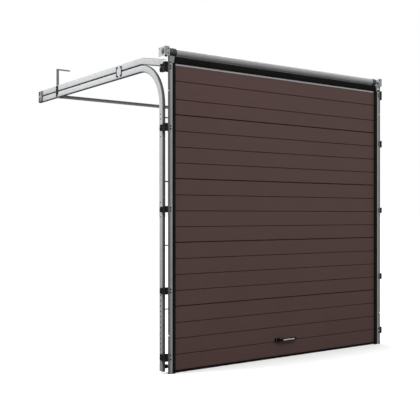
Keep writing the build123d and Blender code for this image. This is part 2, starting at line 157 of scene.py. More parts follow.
def tube(grid, dull=None):
    """Closed shell from rings of points: face (i, j) joins ring i to ring i + 1, and a face closes each end.
    Columns marked for painted shade go into a group of faces of their own."""
    rows, around = grid.shape[:2]
    index = np.arange(rows * around).reshape(rows, around)
    low = index[:-1]
    high = index[1:]
    quads = np.stack([low, np.roll(low, -1, 1), np.roll(high, -1, 1), high], -1)
    groups = [quads] if dull is None else [quads[:, ~dull], quads[:, dull]]
    faces = [group.reshape(-1, 4) for group in groups]
    return outward(grid.reshape(-1, 3), faces + [index[:1, ::-1], index[-1:]])


def ring(grid):
    """Closed shell from rings of points that follow each other round, the last joined to the first."""
    rows, around = grid.shape[:2]
    index = np.arange(rows * around).reshape(rows, around)
    high = np.roll(index, -1, 0)
    quads = np.stack([index, np.roll(index, -1, 1), np.roll(high, -1, 1), high], -1).reshape(-1, 4)
    return outward(grid.reshape(-1, 3), [quads])


def outward(points, faces):
    """Turns the faces round if their volume, the sum of a . (b x c) / 6 over all triangles, is negative."""
    volume = 0.0
    for group in faces:
        first = points[group[:, 0]]
        for k in range(1, group.shape[1] - 1):
            square = np.cross(points[group[:, k]], points[group[:, k + 1]])
            volume += np.einsum("ij,ij->i", first, square).sum()
    if volume < 0:
        faces = [group[:, ::-1] for group in faces]
    return points, faces


def mirrored(shell):
    """The shell on the other side of the doorway: x becomes 2 c - x."""
    points, faces = shell
    return outward(points * np.array([-1.0, 1.0, 1.0]) + np.array([2 * CENTRE_X, 0, 0]), faces)


def both(shells):
    """The shells and their mirror images."""
    return list(shells) + [mirrored(shell) for shell in shells]


def turned_x(profile, y, z, sides=None):
    """Lathe about a line along X: (x, y + r cos t, z + r sin t) for each (x, r) of the profile."""
    profile = np.asarray(profile, float)
    t = np.linspace(0, 2 * math.pi, sides or sizes().sides, endpoint=False)
    r = profile[:, 1:]
    return tube(rings(profile[:, :1], y + r * np.cos(t), z + r * np.sin(t)))


def on_shaft(profile, sides=None):
    """Lathe about the line of the spring shaft."""
    return turned_x(profile, SHAFT["y"], SHAFT["z"], sides)


def prism(outline, start, end, axis="z", dull=None):
    """An outline of (u, v) points carried straight from start to end along one axis."""
    u, v = np.asarray(outline, float).T
    t = np.array([[start], [end]])
    return tube(rings(*{"x": (t, u, v), "y": (u, t, v), "z": (u, v, t)}[axis]), dull)


def plate(low, high, corner=0.0008):
    """A sheet between two corners, its outline across the thinnest side with softened corners."""
    low = np.asarray(low, float)
    high = np.asarray(high, float)
    size = high - low
    thin = int(np.argmin(size))
    u, v = [k for k in range(3) if k != thin]
    outline = rounded(size[u], size[v], corner, 3) + ((low + high) / 2)[[u, v]]
    return prism(outline, low[thin], high[thin], "xyz"[thin])


def along(axis):
    """Two directions square to an axis, and the axis itself, as rows."""
    axis = np.asarray(axis, float) / np.linalg.norm(axis)
    helper = np.array([0.0, 0.0, 1.0]) if abs(axis[2]) < 0.9 else np.array([1.0, 0.0, 0.0])
    first = np.cross(helper, axis)
    first /= np.linalg.norm(first)
    return np.stack([first, np.cross(axis, first), axis])


def standing(profile, place, axis, sides=24, phase=0.0):
    """Lathe about any axis: place + r cos t a + r sin t b + h n for each (h, r) of the profile."""
    profile = np.asarray(profile, float)
    t = np.linspace(0, 2 * math.pi, sides, endpoint=False) + phase
    r = profile[:, 1:]
    local = rings(r * np.cos(t), r * np.sin(t), profile[:, :1])
    return tube(np.asarray(place, float) + local @ along(axis))


def set_screw(x, radius, turn, profile, sides):
    """A screw head that stands out from the shaft at an angle."""
    axis = np.array([0, math.cos(turn), math.sin(turn)])
    place = np.array([x, SHAFT["y"], SHAFT["z"]]) + radius * axis
    return standing(profile, place, axis, sides)


def coil(start, end, radius, wire, pitch, per_turn=18, around=6):
    """Helix about the shaft's line: with the angle a along it, b round the wire and r = R + w / 2 cos b, its
    points are (x0 + p t + w / 2 sin b, y + r cos a, z + r sin a)."""
    turns = (end - start) / pitch
    t = np.linspace(0, turns, int(turns * per_turn) + 1)[:, None]
    a = 2 * math.pi * t
    b = np.linspace(0, 2 * math.pi, around, endpoint=False)
    r = radius + wire / 2 * np.cos(b)
    x = start + pitch * t + wire / 2 * np.sin(b)
    return tube(rings(x, SHAFT["y"] + r * np.cos(a), SHAFT["z"] + r * np.sin(a)))


def rounded(width, height, corner, steps=6):
    """Outline of a rounded rectangle, (u, v) points, with quarter circles of the given corner."""
    q = np.linspace(0, math.pi / 2, steps)
    points = []
    for k, (su, sv) in enumerate(((1, 1), (-1, 1), (-1, -1), (1, -1))):
        a = q + k * math.pi / 2
        u = su * (width / 2 - corner) + corner * np.cos(a)
        v = sv * (height / 2 - corner) + corner * np.sin(a)
        points.append(np.stack([u, v], -1))
    return np.concatenate(points)


def piece(name, shells, materials, body, replaced=(), sharp=35, which=None):
    """One mesh object from shells, riding a body; which has a material number for each shell, or a tuple of
    them for its groups of faces."""
    points = []
    loops = []
    totals = []
    numbers = []
    offset = 0
    for k, (shell_points, faces) in enumerate(shells):
        points.append(shell_points)
        given = which[k] if which else 0
        for order, group in enumerate(faces):
            loops.append(group.reshape(-1) + offset)
            totals.append(np.full(len(group), group.shape[1]))
            numbers.append(np.full(len(group), given[order] if isinstance(given, tuple) else given))
        offset += len(shell_points)
    points = np.concatenate(points)
    loops = np.concatenate(loops)
    totals = np.concatenate(totals)
    mesh = bpy.data.meshes.new(name)
    mesh.vertices.add(len(points))
    mesh.vertices.foreach_set("co", points.astype(np.float32).ravel())
    mesh.loops.add(len(loops))
    mesh.loops.foreach_set("vertex_index", loops.astype(np.int32))
    mesh.polygons.add(len(totals))
    mesh.polygons.foreach_set("loop_start", np.concatenate([[0], np.cumsum(totals)[:-1]]).astype(np.int32))
    for material in materials if isinstance(materials, (list, tuple)) else [materials]:
        mesh.materials.append(material)
    mesh.polygons.foreach_set("material_index", np.concatenate(numbers).astype(np.int32))
    mesh.polygons.foreach_set("use_smooth", np.ones(len(totals), bool))
    mesh.update(calc_edges=True)
    if mesh.validate():
        raise RuntimeError(f"{name}: the mesh had faults")
    mesh.set_sharp_from_angle(angle=math.radians(sharp))
    made = bpy.data.objects.new(name, mesh)
    bpy.context.scene.collection.objects.link(made)
    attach(made, body)
    if replaced:
        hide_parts(*replaced)
    return made


# Finishes


def start_material(name):
    """A node material with its tree, shader and Object coordinates, named apart from the CAD's own."""
    material = bpy.data.materials.new(f"door_{name}")
    material.use_nodes = True
    tree = material.node_tree
    tree.nodes.clear()
    out = tree.nodes.new("ShaderNodeOutputMaterial")
    shader = tree.nodes.new("ShaderNodeBsdfPrincipled")
    tree.links.new(shader.outputs[0], out.inputs[0])
    place = tree.nodes.new("ShaderNodeTexCoord").outputs["Object"]
    return material, tree, shader, place


def stretched(tree, place, scale):
    """Object coordinates multiplied by a scale in each direction."""
    mapping = tree.nodes.new("ShaderNodeMapping")
    mapping.inputs["Scale"].default_value = scale
    tree.links.new(place, mapping.inputs["Vector"])
    return mapping.outputs[0]


def noise(tree, place, scale, detail=3.0, rough=0.5):
    """A noise value from coordinates."""
    made = tree.nodes.new("ShaderNodeTexNoise")
    made.inputs["Scale"].default_value = scale
    made.inputs["Detail"].default_value = detail
    made.inputs["Roughness"].default_value = rough
    tree.links.new(place, made.inputs["Vector"])
    return made.outputs[0]


def spread(tree, value, low, high, from_low=0.3, from_high=0.7):
    """The value mapped from one range to another."""
    made = tree.nodes.new("ShaderNodeMapRange")
    made.inputs["From Min"].default_value = from_low
    made.inputs["From Max"].default_value = from_high
    made.inputs["To Min"].default_value = low
    made.inputs["To Max"].default_value = high
    tree.links.new(value, made.inputs["Value"])
    return made.outputs[0]


def worked(tree, operation, first, second):
    """One arithmetic step between a value and a value or number."""
    made = tree.nodes.new("ShaderNodeMath")
    made.operation = operation
    for socket, value in zip(made.inputs, (first, second)):
        if isinstance(value, (int, float)):
            socket.default_value = value
        else:
            tree.links.new(value, socket)
    return made.outputs[0]


def coordinate(tree, place, axis):
    """One of the three coordinates."""
    made = tree.nodes.new("ShaderNodeSeparateXYZ")
    tree.links.new(place, made.inputs[0])
    return made.outputs[axis]


def blended(tree, share, first, second):
    """Two colours mixed by a share."""
    made = tree.nodes.new("ShaderNodeMix")
    made.data_type = "RGBA"
    sockets = {s.identifier: s for s in made.inputs}
    for key, value in (("Factor_Float", share), ("A_Color", first), ("B_Color", second)):
        socket = sockets[key]
        if isinstance(value, (int, float)):
            socket.default_value = value
        elif isinstance(value, (tuple, list)):
            socket.default_value = (*value[:3], 1)
        else:
            tree.links.new(value, socket)
    return {s.identifier: s for s in made.outputs}["Result_Color"]


def relief(tree, shader, height, strength, distance):
    """A bump from a height value on the shader's normal."""
    made = tree.nodes.new("ShaderNodeBump")
    made.inputs["Strength"].default_value = strength
    made.inputs["Distance"].default_value = distance
    tree.links.new(height, made.inputs["Height"])
    tree.links.new(made.outputs[0], shader.inputs["Normal"])


def coated(tree, shader, tint, rough, metallic=0.0, specular=0.5, ior=1.5):
    """Gives the shader its colour, its roughness and its plain numbers."""
    tree.links.new(tint, shader.inputs["Base Color"])
    tree.links.new(rough, shader.inputs["Roughness"])
    for key, value in (("Metallic", metallic), ("Specular IOR Level", specular), ("IOR", ior)):
        shader.inputs[key].default_value = value


def shade(base, factor):
    """A colour scaled by a factor."""
    return tuple(min(1.0, c * factor) for c in base)


def leaf_paint(name):
    """Brown grained paint outside with painted shade in the pressed grooves, pale stucco skin inside."""
    c = colours()
    material, tree, shader, place = start_material(name)
    grain = noise(tree, stretched(tree, place, (1.6, 30, 42)), 5.0, 6.0, 0.6)
    cloud = noise(tree, place, 2.2, 3.0)
    speck = noise(tree, place, 900.0, 2.0)
    paint = blended(tree, spread(tree, grain, 0, 1), shade(c.paint, 0.90), shade(c.paint, 1.10))
    paint = blended(tree, spread(tree, cloud, 0, 0.5), paint, shade(c.paint, 1.12))
    # Painted shade: the paint darkens in the pressed grooves, by depth behind the front face.
    depth = coordinate(tree, place, "Y")
    painted_groove_shade = spread(tree, depth, 0, 1, LEAF_FRONT + 0.0004, LEAF_FRONT + 0.0022)
    groove = worked(tree, "MULTIPLY", painted_groove_shade, worked(tree, "LESS_THAN", depth, LEAF_FRONT + 0.0125))
    paint = blended(tree, groove, paint, shade(c.paint, 0.42))
    inside = worked(tree, "GREATER_THAN", depth, LEAF_BACK - 0.004)
    skin = blended(tree, spread(tree, cloud, 0, 1), shade(c.inside, 0.96), shade(c.inside, 1.03))
    coated(tree, shader, blended(tree, inside, paint, skin), spread(tree, grain, 0.44, 0.60), specular=0.15)
    height = worked(tree, "ADD", grain, worked(tree, "MULTIPLY", speck, 0.25))
    relief(tree, shader, height, 0.35, 0.0006)
    return material


def zinc_coat(name, tone, metallic=0.1, rough=0.5, spangle=90.0, floor_shade=0.0):
    """Hot dipped zinc: crystals of different greys under a fine cloud, with painted shade that darkens it
    towards the floor.
    """
    base = shade(colours().zinc, tone)
    material, tree, shader, place = start_material(name)
    cells = tree.nodes.new("ShaderNodeTexVoronoi")
    cells.inputs["Scale"].default_value = spangle
    tree.links.new(place, cells.inputs["Vector"])
    crystal = tree.nodes.new("ShaderNodeSeparateColor")
    tree.links.new(cells.outputs["Color"], crystal.inputs[0])
    cloud = noise(tree, place, 14.0, 4.0)
    tint = blended(tree, spread(tree, crystal.outputs[0], 0, 1, 0, 1), shade(base, 0.90), shade(base, 1.08))
    tint = blended(tree, spread(tree, cloud, 0, 0.45), tint, shade(base, 0.82))
    # Painted shade: the colour darkens towards the floor.
    if floor_shade:
        height = coordinate(tree, place, "Z")
        tint = blended(tree, spread(tree, height, floor_shade, 0, 0.1, 1.3), tint, shade(base, 0.25))
    coat = spread(tree, crystal.outputs[1], rough - 0.06, rough + 0.10, 0, 1)
    coated(tree, shader, tint, coat, metallic, 0.25)
    relief(tree, shader, cloud, 0.12, 0.0004)
    return material


def post_zinc(name):
    """Zinc coated post with painted shade: its rolled outer edge is painted dark, and its face is painted
    darker away from the doorway and lighter towards it.
    """
    base = shade(colours().zinc, 0.92)
    material, tree, shader, place = start_material(name)
    off = worked(tree, "ABSOLUTE", worked(tree, "SUBTRACT", coordinate(tree, place, "X"), CENTRE_X), 0)
    cloud = noise(tree, stretched(tree, place, (1, 1, 0.3)), 30.0, 4.0)
    tint = blended(tree, spread(tree, cloud, 0, 1), shade(base, 0.90), shade(base, 1.08))
    # Painted shade: the face darkens away from the doorway, and its outer edge is darker still.
    tint = blended(tree, spread(tree, off, 0, 1, CENTRE_X - 0.012, CENTRE_X + 0.006), tint, shade(base, 0.52))
    edge_shade = worked(tree, "GREATER_THAN", off, CENTRE_X + 0.0072)
    tint = blended(tree, edge_shade, tint, shade(base, 0.28))
    coated(tree, shader, tint, spread(tree, cloud, 0.42, 0.56), 0.1, 0.2)
    relief(tree, shader, cloud, 0.12, 0.0004)
    return material


def brushed(name, base, metallic, rough, direction=(2, 60, 60)):
    """Drawn or brushed metal: fine lines along one direction."""
    material, tree, shader, place = start_material(name)
    lines = noise(tree, stretched(tree, place, direction), 40.0, 4.0)
    tint = blended(tree, spread(tree, lines, 0, 1), shade(base, 0.88), shade(base, 1.1))
    coated(tree, shader, tint, spread(tree, lines, rough - 0.06, rough + 0.08), metallic)
    relief(tree, shader, lines, 0.1, 0.0002)
    return material


def matt(name, base, rough, grain, strength, depth=0.0003, ior=1.5):
    """Moulded rubber or plastic, cast iron or powder paint: an even colour over a fine grain."""
    material, tree, shader, place = start_material(name)
    fine = noise(tree, place, grain, 4.0, 0.6)
    wide = noise(tree, place, 7.0, 3.0)
    tint = blended(tree, spread(tree, wide, 0, 1), shade(base, 0.85), shade(base, 1.2))
    coated(tree, shader, tint, spread(tree, fine, rough - 0.07, rough + 0.07), 0.0, 0.4, ior)
    relief(tree, shader, fine, strength, depth)
    return material


def finish(name):
    """The finish of that name, made on first use."""
    ready = bpy.data.materials.get(f"door_{name}")
    if ready:
        return ready
    c = colours()
    nylon = (0.03, 0.03, 0.032)
    moulding = (0.009, 0.006, 0.006)
    steel = (0.45, 0.45, 0.46)
    recipes = {
        "leaf_paint": leaf_paint,
        "post_zinc": post_zinc,
        "zinc_sheet": partial(zinc_coat, tone=0.62, spangle=70.0),
        "zinc_track": partial(zinc_coat, tone=1.0, metallic=0.08, floor_shade=0.5),
        # Darker zinc for the track flanges, the straps' side flanges and the end plates' folds: painted
        # shade.
        "zinc_flange": partial(zinc_coat, tone=0.24),
        # Darker zinc: painted shade in the bar's recess, and also the finish of the track hangers.
        "zinc_dull": partial(zinc_coat, tone=0.36),
        "zinc_plated": partial(zinc_coat, tone=0.75, metallic=0.4, rough=0.4, spangle=400.0),
        "rubber": partial(matt, base=c.rubber, rough=0.7, grain=180.0, strength=0.25, ior=1.1),
        "black_steel": partial(matt, base=c.black, rough=0.5, grain=420.0, strength=0.18, ior=1.15),
        "cast_drum": partial(matt, base=c.drum, rough=0.5, grain=300.0, strength=0.35, depth=0.0005, ior=1.3),
        "nylon": partial(matt, base=nylon, rough=0.45, grain=500.0, strength=0.1),
        "dark_moulding": partial(matt, base=moulding, rough=0.5, grain=500.0, strength=0.15, ior=1.12),
        "cap_aluminium": partial(brushed, base=(0.36, 0.36, 0.365), metallic=0.4, rough=0.4),
        "spring_wire": partial(brushed, base=c.spring, metallic=0.45, rough=0.38, direction=(60, 8, 8)),
        "grip_metal": partial(brushed, base=c.grip, metallic=0.5, rough=0.3),
        "bright_steel": partial(brushed, base=steel, metallic=0.8, rough=0.3, direction=(30, 30, 30)),
    }
    return recipes[name](name)


def dress(node, name):
    """Gives a CAD node its finish."""
    mesh = frame["nodes"][node].data
    if not mesh.materials:
        mesh.materials.append(None)
    for k in range(len(mesh.materials)):
        mesh.materials[k] = finish(name)


# Tracks


def track_outline():
    """Outline of the rolled track, (x from the web, v across): a channel with round corners, hemmed lips."""
    s = sizes()
    half = s.track_width / 2
    corner = s.track_corner
    a = np.linspace(0, math.pi / 2, 9)
    outer = np.stack([corner * (1 - np.cos(a)), half - corner * (1 - np.sin(a))], -1)
    hem = s.track_wall * 0.75
    h = np.linspace(math.pi / 2, -math.pi / 2, 7)
    lip = np.stack([s.track_depth - hem + hem * np.cos(h), half - hem + hem * np.sin(h)], -1)
    fold = [(s.track_depth - 2.5 * hem, half - 2 * hem), (s.track_depth - 3 * hem, half - s.track_wall)]
    r = s.track_corner - s.track_wall
    inner = np.stack([s.track_corner - r * np.cos(a), half - s.track_corner + r * np.sin(a)], -1)[::-1]
    upper = np.concatenate([outer, lip, fold, inner])
    return np.concatenate([upper, upper[::-1] * np.array([1, -1])])


def carried(y, z, normal_y, normal_z):
    """The track outline carried along a path in the YZ plane: (w + x, y + v ny, z + v nz). Its web
    keeps the plain zinc, and its flanges and lips are marked for painted shade."""
    x, v = track_outline().T
    dull = np.ones(len(x), bool)
    dull[:3] = dull[-4:] = False
    y, z, normal_y, normal_z = (row[:, None] for row in (y, z, normal_y, normal_z))
    return tube(rings(TRACK_WEB + x, y + v * normal_y, z + v * normal_z), dull)


def straight(from_y, from_z, to_y, to_z):
    """Two points and normals of a straight run."""
    run = np.array([to_y - from_y, to_z - from_z])
    run /= np.linalg.norm(run)
    return np.array([from_y, to_y]), np.array([from_z, to_z]), np.full(2, -run[1]), np.full(2, run[0])


def bend_path():
    """Quarter circle from upright to level: (yc - R cos a, zc + R sin a) with a from 0 to 90 degrees."""
    radius = sizes().bend_radius
    a = np.linspace(0, math.pi / 2, 33)
    y = BEND_END_Y - radius * np.cos(a)
    return y, TRACK_CORNER_Z - radius * (1 - np.sin(a)), -np.cos(a), np.sin(a)


def rising_z(y):
    """Height of the upper track's middle on the run before its knee."""
    return UPPER_Z - UPPER_RISE * (KNEE_Y - y)


def upper_path():
    """Rising run, a rounded knee and a level run: the knee is an arc of 0.2 m tangent to both."""
    slope = math.atan(UPPER_RISE)
    knee = 0.2
    start = 0.032
    a = np.linspace(slope, 0, 13)
    arc_y = KNEE_Y + knee * math.tan(slope / 2) - knee * np.sin(a)
    arc_z = UPPER_Z - knee * (1 - np.cos(a))
    y = np.concatenate([[start], arc_y, [TRACK_END_Y]])
    z = np.concatenate([[rising_z(start)], arc_z, [UPPER_Z]])
    turn = np.concatenate([[slope], a, [0]])
    return y, z, -np.sin(turn), np.cos(turn)


class DOOR_OT_tracks(bpy.types.Operator):
    """Makes the rolled roller tracks on both sides"""

    bl_idname = "door.tracks"
    bl_label = "Tracks"

    def execute(self, context):
        # The web takes the plain zinc; the flanges, lips and end faces take a darker zinc as painted shade.
        sheet = [finish("zinc_track"), finish("zinc_flange")]
        tones = (0, 1, 1, 1)
        bends = both([carried(*bend_path())])
        piece("rolled_track_bends", bends, sheet, "frame", ["track_bends"], which=[tones] * 2)
        runs = {
            "vertical_track": carried(*straight(TRACK_Y, 0.015, TRACK_Y, UPRIGHT_TOP)),
            "horizontal_track": carried(*straight(BEND_END_Y, TRACK_CORNER_Z, TRACK_END_Y, TRACK_CORNER_Z)),
            "upper_track": carried(*upper_path()),
        }
        for name, shell in runs.items():
            for side, shape in (("left", shell), ("right", mirrored(shell))):
                made = f"rolled_{side}_{name}"
                piece(made, [shape], sheet, "frame", [f"{side}_{name}"], which=[tones])
        return {"FINISHED"}


def bar_outline(front, back, foot, top):
    """Section of the spreader bar, (y, z): a channel open to the back, with a bead pressed into its web."""
    wall = 0.0025
    bead = 0.007
    outline = [(back, foot), (front, foot), (front, foot + 0.006), (front + bead, foot + 0.009)]
    outline += [(front + bead, top - 0.009), (front, top - 0.006), (front, top), (back, top)]
    outline += [(back, top - wall), (front + wall, top - wall), (front + wall, top - 0.0046)]
    outline += [(front + bead + wall, top - 0.0076), (front + bead + wall, foot + 0.0076)]
    return outline + [(front + wall, foot + 0.0046), (front + wall, foot + wall), (back, foot + wall)]


class DOOR_OT_straps(bpy.types.Operator):
    """Makes the straps, stops and bar that tie the tracks together, and the plates under the drums"""

    bl_idname = "door.straps"
    bl_label = "Straps and corner plates"

    def execute(self, context):
        low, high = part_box("splice_plates")
        straps = [plate((low.x, low.y, low.z), (TRACK_WEB, high.y, high.z), 0.002)]
        # Each strap's two side flanges take the darker zinc as painted shade.
        for y in (low.y, high.y - 0.002):
            straps.append(plate((-0.0540, y, low.z + 0.004), (-0.0465, y + 0.002, high.z - 0.004)))
        sheet = [finish("zinc_track"), finish("zinc_flange")]
        tones = [0, 1, 1] * 2
        piece("splice_straps", both(straps), sheet, "frame", ["splice_plates"], which=tones)
        low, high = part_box("end_plates")
        # The end plates' folds are all in the darker zinc: painted shade.
        fold = [plate((-0.0565, low.y, low.z + 0.002), (-0.0465, low.y + 0.002, high.z - 0.002))]
        fold.append(plate((-0.0525, low.y + 0.002, low.z + 0.002), (-0.0465, high.y - 0.002, low.z + 0.004)))
        piece("end_plate_folds", both(fold), finish("zinc_flange"), "frame")
        outline = [(-0.0068, 2.4715), (0.034, 2.4715), (0.0372, 2.469), (0.038, 2.465), (0.0375, 2.452)]
        outline += [(0.0335, 2.4445), (0.0330, 2.424), (0.030, 2.4195), (0.0175, 2.4195)]
        outline += [(0.016, 2.444), (-0.0068, 2.446)]
        corner = prism(outline, -0.0012, 0.0004, "y")
        piece("corner_plates", both([corner]), finish("zinc_sheet"), "frame")
        low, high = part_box("spreader_bar")
        bar_height = 0.031
        reach = 0.026
        outline = bar_outline(low.y, high.y, high.z - bar_height, high.z)
        # The bead's recess and the inside of the channel take a darker zinc as painted shade.
        dull = np.zeros(len(outline), bool)
        dull[2:5] = dull[8:15] = True
        channel = prism(outline, low.x + reach, high.x - reach, "x", dull)
        foot_top = TRACK_CORNER_Z - sizes().track_width / 2
        foot = plate((low.x, low.y, foot_top - 0.0040), (low.x + reach + 0.030, high.y, foot_top))
        sheet = [finish("zinc_sheet"), finish("zinc_dull")]
        tones = [(0, 1, 0, 0), 0, 0]
        bar = [channel, *both([foot])]
        piece("channel_bar", bar, sheet, "frame", ["spreader_bar"], which=tones)
        clamps = [plate((-0.0500, 1.9905, 2.4035), (-0.0465, 2.0075, 2.5085), 0.003)]
        clamps.append(plate((-0.0500, 1.9680, 2.4200), (-0.0450, 1.9890, 2.5060), 0.003))
        piece("hanger_clamps", both(clamps), finish("black_steel"), "frame")
        return {"FINISHED"}


class DOOR_OT_brackets(bpy.types.Operator):
    """Makes the black angle brackets of the tracks and the rubber seal under the lintel"""

    bl_idname = "door.brackets"
    bl_label = "Brackets and lintel seal"

    def execute(self, context):
        shells = []
        for z, height, share, _ in BRACKETS:
            low = z - height / 2
            high = z + height / 2
            fall = height * share
            leg = [(0.002, low + 0.004), (0.006, low), (0.046, low), (0.052, low + 0.006)]
            leg += [(0.074, low + 0.006), (0.080, low + 0.013), (0.080, high - fall), (0.074, high - fall)]
            leg += [(0.064, high - fall - 0.008), (0.040, high - fall * 0.4), (0.022, high - 0.002)]
            leg.append((0.002, high))
            shells.append(prism(leg, -0.048, TRACK_WEB, "x"))
            wall = rounded(0.062, height, 0.005, 5) + np.array([-0.017, z])
            shells.append(prism(wall, 0.002, 0.005, "y"))
            for nut in (z - height * 0.22, z + height * 0.22):
                shells.append(plate((-0.0520, 0.047, nut - 0.009), (-0.0476, 0.069, nut + 0.009), 0.005))
        black = finish("black_steel")
        for side, made in (("left", shells), ("right", [mirrored(shell) for shell in shells])):
            piece(f"{side}_angle_brackets", made, black, "frame", [f"{side}_track_brackets"])
        low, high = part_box("lintel_seal")
        back = LEAF_FRONT - 0.0007
        thick = 0.010
        lip = 2.4192
        outline = [(low.y, high.z), (low.y, low.z + 0.003), (0.004, 2.4212), (0.010, lip), (back, lip)]
        outline += [(back, 2.4232), (thick, low.z + 0.004), (thick, high.z)]
        seal = prism(outline, low.x, high.x, "x")
        piece("lintel_lip", [seal], finish("rubber"), "frame", ["lintel_seal"])
        return {"FINISHED"}


# Spring, drums and cables


class DOOR_OT_spring(bpy.types.Operator):
    """Makes the coiled torsion spring with its two end plugs, and the hollow shaft that carries it"""

    bl_idname = "door.spring"
    bl_label = "Torsion spring"

    def execute(self, context):
        s = sizes()
        y, z = SHAFT["y"], SHAFT["z"]
        low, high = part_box("torsion_spring")
        onto_drum = Vector((0.018, 0, 0))
        first = (low - onto_drum).x
        last = (high + onto_drum).x
        inset = 0.014 + s.wire / 2
        wires = coil(first + inset, last - inset, s.coil_radius - s.wire / 2, s.wire, s.coil_pitch)
        piece("spring_coils", [wires], finish("spring_wire"), "shaft", ["torsion_spring"])
        r = s.coil_radius
        profile = [(0, 0.0128), (0, r - 0.004), (0.002, r - 0.001), (0.009, r - 0.001), (0.011, r - 0.005)]
        profile += [(0.014, r - 0.005), (0.016, r - 0.007), (0.060, r - s.wire - 0.0005), (0.062, 0.0128)]
        head = [(0, 0.0028), (0.003, 0.0028), (0.0033, 0.002)]
        ends = []
        for start, step in ((first, 1), (last, -1)):
            ends.append(on_shaft([(start + step * x, radius) for x, radius in profile]))
            for quarter in range(4):
                turn = 0.6 + quarter * math.pi / 2
                ends.append(set_screw(start + step * 0.0055, r - 0.0035, turn, head, 12))
        piece("spring_plugs", ends, finish("cast_drum"), "shaft")
        low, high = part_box("spring_shaft")
        r = 0.0125
        inner = 0.0092
        soft = 0.0006
        key_depth = 0.0026
        key_reach = 0.16
        outer = [(low.x + 0.014, inner), (low.x, inner), (low.x, r - soft), (low.x + soft, r)]
        outer += [(high.x - soft, r), (high.x, r - soft), (high.x, inner), (high.x - 0.014, inner)]
        t = np.linspace(0, 2 * math.pi, 48, endpoint=False)
        key = np.where(np.abs(t - math.pi / 2) < key_reach, key_depth, 0)
        x, radius = np.array(outer).T[:, :, None]
        radius = radius - np.where(radius > 0.010, key, 0)
        shells = [tube(rings(x, y + radius * np.cos(t), z + radius * np.sin(t)))]
        wall = inner - 0.00005
        for a, b in ((low.x + 0.0010, low.x + 0.0138), (high.x - 0.0138, high.x - 0.0010)):
            shells.append(on_shaft([(a, 0.0004), (a, wall), (b, wall), (b, 0.0004)], 32))
        finishes = [finish("bright_steel"), finish("dark_moulding")]
        piece("hollow_shaft", shells, finishes, "shaft", ["spring_shaft"], which=[0, 1, 1])
        return {"FINISHED"}


class DOOR_OT_drums(bpy.types.Operator):
    """Makes the cable drums, the wound turns of cable and the two lifting cables"""

    bl_idname = "door.drums"
    bl_label = "Drums and cables"

    def execute(self, context):
        s = sizes()
        bore = 0.01256
        x0 = 0.020
        profile = [(x0, bore), (x0, 0.0295), (x0 + 0.0008, 0.0312), (x0 + 0.0022, 0.0312)]
        profile.append((x0 + 0.003, 0.0300))
        t = np.linspace(0, 1, 25)
        groove = np.stack([x0 + 0.003 + 0.009 * t, 0.0198 - 0.0009 * np.abs(np.sin(3 * math.pi * t))], -1)
        profile += [tuple(p) for p in groove]
        profile += [(x0 + 0.0122, 0.0296), (x0 + 0.0132, 0.0308), (x0 + 0.0150, 0.0308)]
        profile += [(x0 + 0.0160, 0.0290), (x0 + 0.0215, 0.0286), (x0 + 0.0222, 0.0300)]
        a = np.linspace(math.pi, 0, 9)
        profile += [(x0 + 0.0262 + 0.0038 * math.cos(k), 0.0300 + 0.0029 * math.sin(k)) for k in a]
        profile += [(x0 + 0.0302, bore)]
        drum = on_shaft(profile, 56)
        head = [(0, 0.0036), (0.0028, 0.0036), (0.0029, 0.0022)]
        screws = [set_screw(x0 + 0.0188, 0.0284, turn, head, 6) for turn in (3.3, 3.3 + math.pi)]
        wound = []
        for start, end in ((0.009, 0.0135), (0.0045, 0.0075)):
            wound.append(coil(x0 + start, x0 + end, 0.0213, s.cable, 0.0031, 40, 10))
        piece("cast_drums", both([drum]), finish("cast_drum"), "shaft", ["cable_drums"])
        piece("drum_screws", both(screws), finish("zinc_plated"), "shaft")
        piece("wound_cable", both(wound), finish("bright_steel"), "shaft")
        low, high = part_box("lifting_cables")
        cable_x = low.x + s.cable / 2
        cable_y = (low.y + high.y) / 2
        rows = np.linspace(low.z, high.z, 400)[:, None]
        a = np.linspace(0, 2 * math.pi, 18, endpoint=False)
        lay = 0.024
        twist = rows * 2 * math.pi / lay
        r = s.cable / 2 * (0.86 + 0.14 * np.abs(np.cos(3 * (a - twist))))
        strand = both([tube(rings(cable_x + r * np.cos(a), cable_y + r * np.sin(a), rows))])
        steel = finish("bright_steel")
        strands = piece("cable_strands", strand, steel, "frame", ["lifting_cables"], 60)
        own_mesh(strands)
        profile = [(0, 0.0026), (0.001, 0.0030), (0.013, 0.0030), (0.014, 0.0026)]
        sleeve = standing(profile, (cable_x, cable_y, 0.083), (0, 0, 1), 20)
        u = np.linspace(0, 2 * math.pi, 28, endpoint=False)[:, None]
        v = np.linspace(0, 2 * math.pi, 10, endpoint=False)
        arm = 0.0042 + 0.0013 * np.cos(v)
        eye = ring(
            rings(
                cable_x + 0.0013 * np.sin(v),
                cable_y + arm * np.cos(u) * 0.62,
                0.0740 + arm * 1.5 * np.sin(u),
            )
        )
        piece("cable_ends", both([sleeve, eye]), steel, "leaf")
        return {"FINISHED"}


# Rollers


def roller_shells(y, z):
    """A moulded wheel with a raceway and hub round a steel stem, all turned about a line along X."""
    r = sizes().roller
    x = -0.036
    wheel = [(x + 0.002, 0.0085), (x + 0.002, 0.013), (x, 0.014), (x, r - 0.002), (x + 0.0015, r)]
    wheel += [(x + 0.0115, r), (x + 0.013, r - 0.002), (x + 0.013, 0.014), (x + 0.011, 0.013)]
    wheel += [(x + 0.011, 0.0085)]
    hub = [(x + 0.0012, 0.0052), (x + 0.0012, 0.0082), (x + 0.0018, 0.0086), (x + 0.0112, 0.0086)]
    hub += [(x + 0.0118, 0.0082), (x + 0.0118, 0.0052)]
    stem = [(x + 0.0006, 0.0036), (x + 0.001, 0.0049), (0.089, 0.0049), (0.090, 0.0040)]
    return [turned_x(wheel, y, z), turned_x(hub, y, z), turned_x(stem, y, z, 24)]


